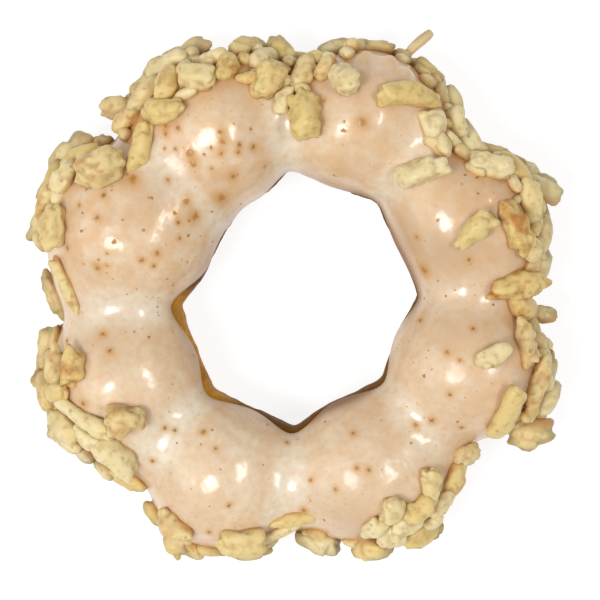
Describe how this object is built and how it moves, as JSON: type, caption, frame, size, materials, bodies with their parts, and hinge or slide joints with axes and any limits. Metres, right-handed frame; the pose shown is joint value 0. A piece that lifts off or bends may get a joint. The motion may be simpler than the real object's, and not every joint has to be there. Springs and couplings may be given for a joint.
{
  "type": "mochi doughnut",
  "caption": "Ring doughnut of joined round dough balls, dipped in glossy pale icing, with crisped rice stuck round its outer rim.",
  "frame": {"origin": "middle of the bounding box in plan, at the height of the surface that the doughnut rests on", "axes": "+Z up through the hole, +X to the right and +Y upwards in the picture, which looks down on the doughnut"},
  "size_m": [0.0882, 0.0874, 0.0267],
  "materials": {
    "dough": "matte fried crust",
    "icing": "glossy set icing with crisped rice"
  },
  "bodies": {
    "root": {"dough": "dough", "icing": "icing"}
  },
  "joints": []
}
